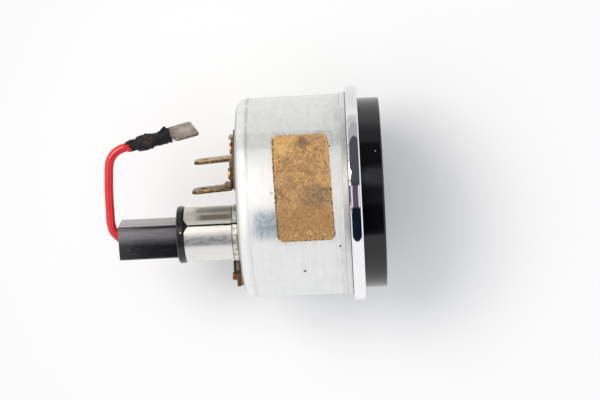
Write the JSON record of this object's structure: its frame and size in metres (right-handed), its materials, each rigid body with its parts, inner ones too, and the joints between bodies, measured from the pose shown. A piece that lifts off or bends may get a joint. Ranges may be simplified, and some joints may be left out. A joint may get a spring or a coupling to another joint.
{
  "type": "oil temperature gauge",
  "caption": "Round dashboard gauge for oil temperature, with a steel can, chromed bezel, black hood, blade terminals and a push-in lamp holder on a short red lead.",
  "frame": {"origin": "centre of the bezel's rear seat, where it meets the panel", "axes": "+Y back along the gauge's axis towards the terminals, the dial looks along -Y, +Z is 12 o'clock on the dial"},
  "size_m": [0.056, 0.0712, 0.056],
  "materials": {
    "zinc_steel": "dull zinc plate with spots and scratches",
    "chrome": "bright, with rust spots at its back edge",
    "black_gloss": "glossy black with white specks",
    "clear_glass": "clear",
    "seal_rubber": "matt black",
    "black_matt": "matt black",
    "dial_print": "matt black with plain white numbers",
    "light_acrylic": "clear pale green",
    "movement_brass": "satin",
    "plated_screw": "bright nickel",
    "shield_alloy": "dull nickel iron",
    "former_nylon": "cream moulding",
    "coil_copper": "enamelled copper wire",
    "board_paper": "brown hard paper",
    "resistor_body": "tan lacquer with colour bands",
    "tinned_tag": "dull tin",
    "aged_brass": "brown oxide with bright edges",
    "rivet_copper": "dull copper brown",
    "insulator_paper": "brown hard paper, dusty",
    "tube_nickel": "bright nickel, tarnished along the seam",
    "kraft_paper": "stained brown paper, bare",
    "needle_paint": "off white",
    "magnet_grey": "dark grey",
    "holder_black": "black moulding with a dull sheen",
    "contact_brass": "spring brass",
    "filament_wire": "dull wire",
    "wire_red": "red sheath with a soft gloss",
    "tape_black": "wound black tape, wrinkled"
  },
  "bodies": {
    "gauge": {"case_can": "zinc_steel", "chrome_bezel": "chrome", "front_hood": "black_gloss", "front_glass": "clear_glass", "mouth_seal": "seal_rubber", "dial_spacer": "black_matt", "dial_plate": "dial_print", "dial_screws": "plated_screw", "dial_posts": "movement_brass", "light_ring": "light_acrylic", "front_plate": "movement_brass", "frame_pillars": "movement_brass", "rear_plate": "movement_brass", "plate_screws": "plated_screw", "front_bearing": "movement_brass", "rear_bearing": "movement_brass", "magnetic_shield": "shield_alloy", "former_front": "former_nylon", "former_rear": "former_nylon", "coil_across": "coil_copper", "coil_upright": "coil_copper", "inner_board": "board_paper", "trim_resistor": "resistor_body", "inner_leads": "coil_copper", "solder_tags": "tinned_tag", "supply_terminal": "aged_brass", "sender_terminal": "aged_brass", "terminal_insulator": "insulator_paper", "terminal_bushes": "board_paper", "supply_rivet": "rivet_copper", "sender_rivet": "rivet_copper", "earth_tag": "aged_brass", "earth_pad": "insulator_paper", "earth_rivet": "rivet_copper", "lamp_tube": "tube_nickel", "tube_collar": "tube_nickel", "paper_label": "kraft_paper"},
    "pointer": {"pointer_needle": "needle_paint", "pointer_cap": "black_matt", "pointer_shaft": "plated_screw", "magnet_rotor": "magnet_grey"},
    "lamp_holder": {"holder_body": "holder_black", "feed_contact": "contact_brass", "earth_contact": "contact_brass", "lead_wire": "wire_red", "lead_tape": "tape_black", "lead_tab": "tinned_tag"},
    "bulb": {"bulb_glass": "clear_glass", "bulb_filament": "filament_wire"}
  },
  "joints": [
    {"name": "pointer_sweep", "type": "hinge", "parent": "gauge", "child": "pointer", "pos_m": [0, 0.015, 0], "axis": [0, 1, 0], "range_deg": [0, 100], "stiffness_Nm_per_rad": 0.000002, "springref_deg": -17.19},
    {"name": "holder_pull", "type": "slide", "parent": "gauge", "child": "lamp_holder", "axis": [0, 1, 0], "range_m": [0, 0.03]},
    {"name": "bulb_pull", "type": "slide", "parent": "lamp_holder", "child": "bulb", "axis": [0, -1, 0], "range_m": [0, 0.008]}
  ]
}
